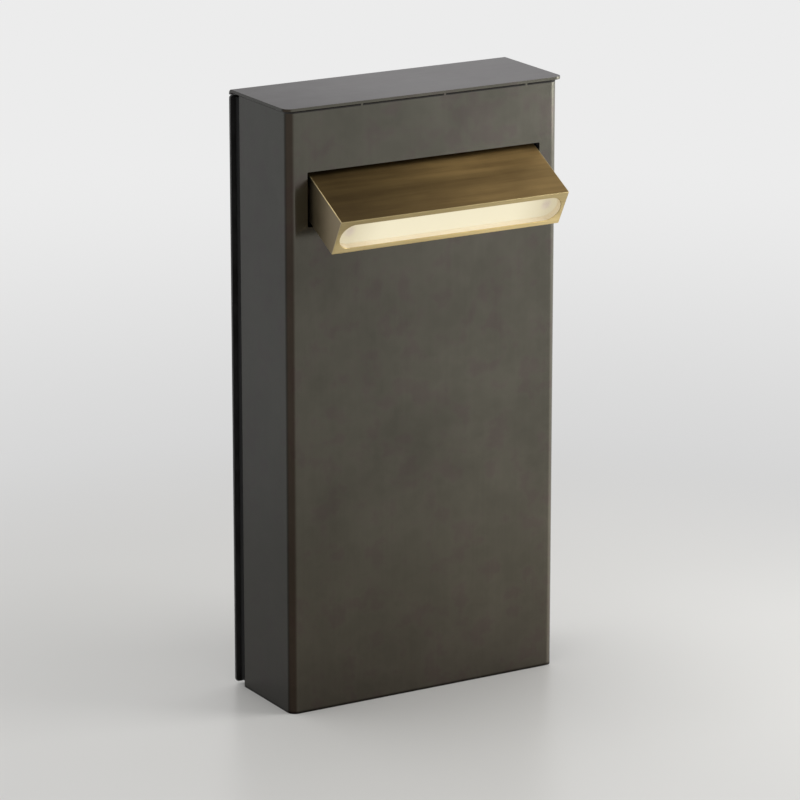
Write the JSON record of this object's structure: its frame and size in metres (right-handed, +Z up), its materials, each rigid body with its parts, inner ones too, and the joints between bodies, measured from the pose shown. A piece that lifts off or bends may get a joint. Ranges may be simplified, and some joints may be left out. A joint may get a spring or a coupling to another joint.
{
  "type": "outdoor floor lamp",
  "caption": "Upright bronze sheet-metal outdoor floor lamp with a tilting brass light bar in a front slot and a frosted lens.",
  "frame": {"origin": "middle of the base plate's underside, on the ground", "axes": "+Z up, -Y towards the lit front, +X to the right as seen from the front"},
  "size_m": [0.2074, 0.1152, 0.406],
  "materials": {
    "bronze_sheet": "dark bronze plate, satin, faint vertical grain",
    "bronze_cap": "dark bronze plate, satin, grain along its length",
    "black_cover": "fine black powder coat",
    "black_screw": "black oxide",
    "black_rubber": "matte black",
    "zinc_steel": "zinc plate",
    "driver_case": "matte grey moulding",
    "white_moulding": "matte white",
    "brass_small": "bright brass",
    "antique_brass": "antique brass, brushed along its length, darkened and mottled",
    "frosted_lens": "frosted warm white, lit from behind",
    "clear_seal": "translucent silicone",
    "aluminium": "mill finish extrusion",
    "led_phosphor": "yellow phosphor",
    "red_wire": "wire insulation"
  },
  "bodies": {
    "lamp_body": {"housing": "bronze_sheet", "top_cap": "bronze_cap", "cap_bracket_left": "zinc_steel", "cap_bracket_right": "zinc_steel", "cap_studs": "zinc_steel", "cap_nuts": "zinc_steel", "rear_cover": "black_cover", "rear_gasket": "black_rubber", "rear_screws": "black_screw", "rivet_nuts": "zinc_steel", "base_plate": "zinc_steel", "base_angle_left": "zinc_steel", "base_angle_right": "zinc_steel", "base_screws": "zinc_steel", "base_nuts": "zinc_steel", "cable_grommet": "black_rubber", "gear_tray": "zinc_steel", "tray_screws": "zinc_steel", "cord_grip": "zinc_steel", "grip_screws": "zinc_steel", "driver": "driver_case", "driver_screws": "zinc_steel", "terminal_block": "white_moulding", "terminal_screws": "brass_small", "earth_stud": "brass_small", "earth_washer": "zinc_steel", "earth_nut": "brass_small", "pivot_bracket_left": "zinc_steel", "pivot_bracket_right": "zinc_steel", "bracket_studs": "zinc_steel", "bracket_nuts": "zinc_steel", "head_lead": "black_rubber", "input_lead": "black_rubber"},
    "light_head": {"head_housing": "antique_brass", "lens": "frosted_lens", "lens_gasket": "clear_seal", "heat_channel": "aluminium", "led_board": "white_moulding", "leds": "led_phosphor", "board_screws": "zinc_steel", "head_gasket": "black_rubber", "head_back_cover": "antique_brass", "head_screws": "black_screw", "pivot_pin": "zinc_steel", "pivot_tube": "brass_small", "friction_washers": "brass_small", "spring_washers": "zinc_steel", "pivot_nuts": "zinc_steel", "lead_connector": "white_moulding", "board_wire": "red_wire"}
  },
  "joints": [
    {"name": "head_tilt", "type": "hinge", "parent": "lamp_body", "child": "light_head", "pos_m": [0, -0.0243, 0.3498], "axis": [1, 0, 0], "range_deg": [-26, 5]}
  ]
}
